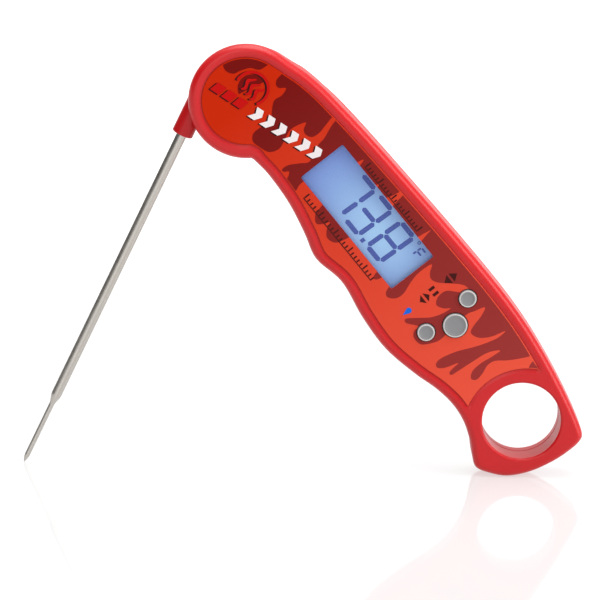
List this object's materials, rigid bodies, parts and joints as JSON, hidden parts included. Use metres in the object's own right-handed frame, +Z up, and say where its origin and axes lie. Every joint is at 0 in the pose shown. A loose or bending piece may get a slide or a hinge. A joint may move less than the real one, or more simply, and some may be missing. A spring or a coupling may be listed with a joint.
{
  "type": "folding meat thermometer",
  "caption": "Folding pocket meat thermometer with a swinging steel probe, a printed face with display and press buttons, a coin-slot battery cover and a hanging ring.",
  "frame": {"origin": "centre of the bounding box's bottom face: the object stands on the probe's tip and the arc of its hanging ring, as in its picture", "axes": "+X to the right along the object's longest extent, +Y into the object away from the viewer through its thickness, +Z up; the printed face looks along -Y"},
  "size_m": [0.1711, 0.0137, 0.132],
  "materials": {
    "case": "semi-gloss moulded",
    "hub": "semi-gloss moulded",
    "label": "satin printed polycarbonate with a two-tone flame camouflage",
    "lens": "clear",
    "display": "blue backlit display",
    "white_plastic": "diffusing",
    "seal_rubber": "matt",
    "button_grey": "satin",
    "board": "solder mask",
    "black_plastic": "moulded",
    "lead_insulation": "extruded",
    "probe_steel": "polished along its length",
    "hardware_steel": "plated",
    "magnet_nickel": "nickel plate",
    "brass": "turned"
  },
  "bodies": {
    "case": {"backlight_guide": "white_plastic", "battery_cover_seal": "seal_rubber", "board_lead": "lead_insulation", "case_gasket": "seal_rubber", "case_screw_1": "hardware_steel", "case_screw_2": "hardware_steel", "case_screw_3": "hardware_steel", "case_screw_4": "hardware_steel", "circuit_board": "board", "coin_cell": "hardware_steel", "contact_negative": "hardware_steel", "contact_positive": "hardware_steel", "controller_chip": "black_plastic", "display_lens": "lens", "elastomer_strip_lower": "seal_rubber", "elastomer_strip_upper": "seal_rubber", "fold_sensor": "black_plastic", "friction_washer": "hardware_steel", "front_case": "case", "hub_seal": "seal_rubber", "lcd_glass": "display", "magnet_lower": "magnet_nickel", "magnet_upper": "magnet_nickel", "pivot_bush": "brass", "pivot_screw": "hardware_steel", "printed_label": "label", "rear_case": "case", "switch_centre": "hardware_steel", "switch_left": "hardware_steel", "switch_right": "hardware_steel"},
    "probe": {"probe_hub": "hub", "probe_tube": "probe_steel", "thermistor_bead": "black_plastic", "sensor_lead": "lead_insulation", "hub_magnet": "magnet_nickel"},
    "left_button": {"button_left": "button_grey", "plunger_left": "black_plastic"},
    "centre_button": {"button_centre": "button_grey", "plunger_centre": "black_plastic"},
    "right_button": {"button_right": "button_grey", "plunger_right": "black_plastic"},
    "cover": {"battery_cover": "case"}
  },
  "joints": [
    {"name": "probe_fold", "type": "hinge", "parent": "case", "child": "probe", "pos_m": [-0.02002, 0, 0.11457], "axis": [0, -1, 0], "range_deg": [-115.55, 64.45]},
    {"name": "left_button_press", "type": "slide", "parent": "case", "child": "left_button", "axis": [0, 1, 0], "range_m": [0, 0.0006], "stiffness_N_per_m": 2000, "springref_m": -0.0004},
    {"name": "centre_button_press", "type": "slide", "parent": "case", "child": "centre_button", "axis": [0, 1, 0], "range_m": [0, 0.0006], "stiffness_N_per_m": 2000, "springref_m": -0.0004},
    {"name": "right_button_press", "type": "slide", "parent": "case", "child": "right_button", "axis": [0, 1, 0], "range_m": [0, 0.0006], "stiffness_N_per_m": 2000, "springref_m": -0.0004},
    {"name": "battery_cover_twist", "type": "hinge", "parent": "case", "child": "cover", "pos_m": [0.04191, 0, 0.05166], "axis": [0, 1, 0], "range_deg": [0, 90]}
  ]
}
